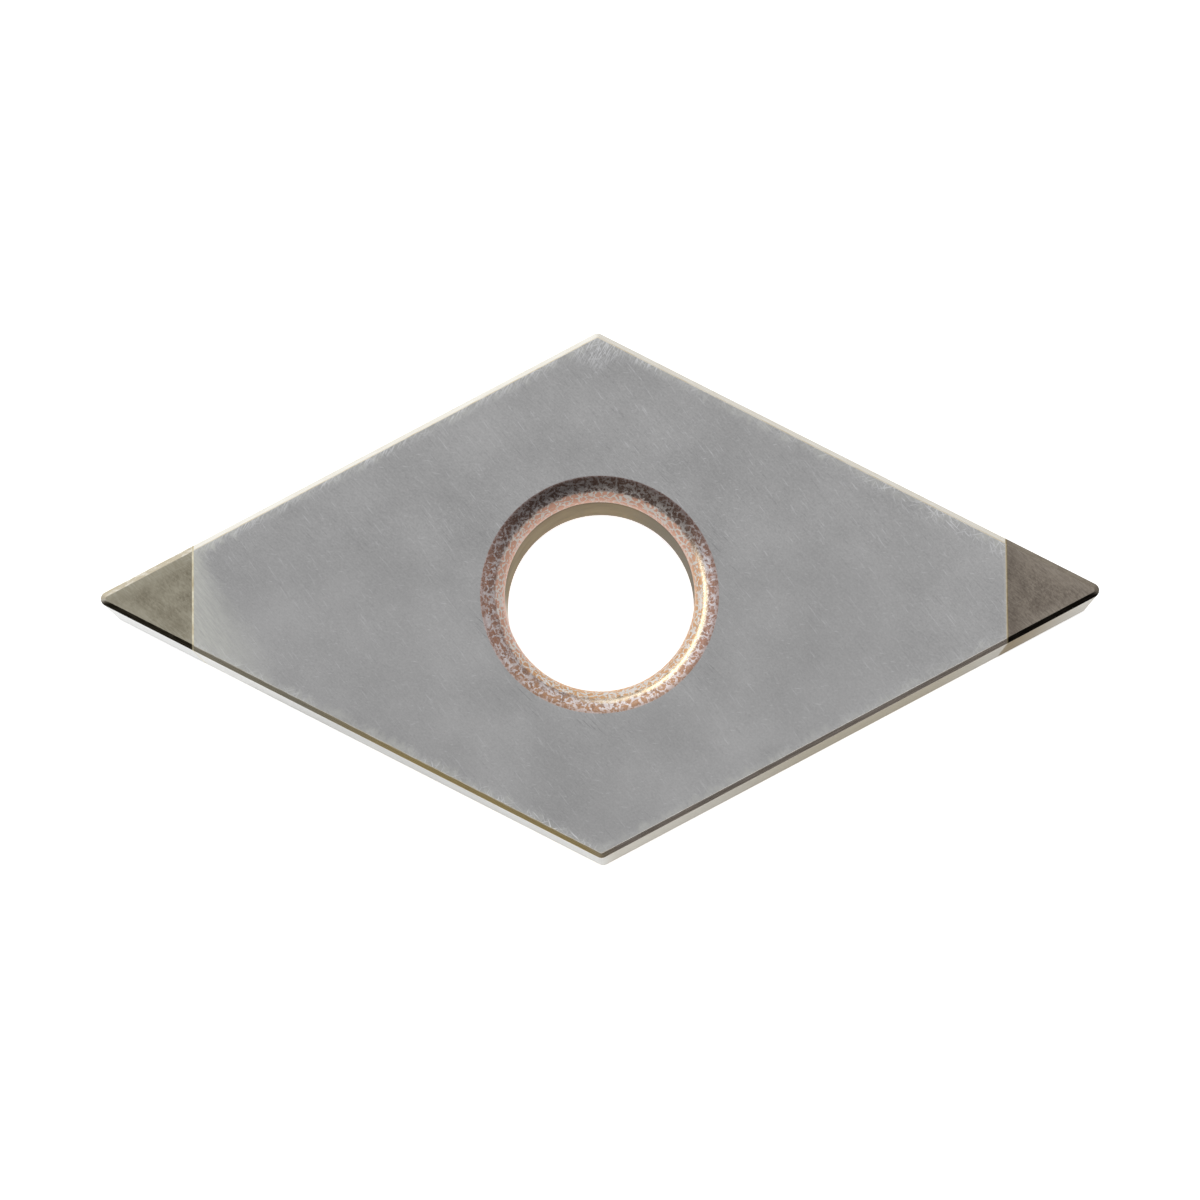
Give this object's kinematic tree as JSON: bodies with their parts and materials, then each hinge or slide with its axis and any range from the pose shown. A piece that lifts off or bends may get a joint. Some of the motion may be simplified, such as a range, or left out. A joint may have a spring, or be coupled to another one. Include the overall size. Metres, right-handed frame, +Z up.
{
  "type": "turning insert",
  "caption": "Flat rhombic turning insert with a round clamping hole and a hard nitride cutting tip brazed to each pointed corner.",
  "frame": {"origin": "on the clamping hole's axis, at the lower face", "axes": "+X along the long diagonal towards one cutting nose, +Y along the short diagonal, +Z up along the clamping hole"},
  "size_m": [0.027, 0.0142, 0.0048],
  "materials": {
    "carbide": "ground cemented carbide",
    "nitride": "ground cubic boron nitride",
    "braze": "ground flush"
  },
  "bodies": {
    "root": {"carbide_body": "carbide", "left_cbn_tip": "nitride", "right_cbn_tip": "nitride", "left_braze_seam": "braze", "right_braze_seam": "braze"}
  },
  "joints": []
}
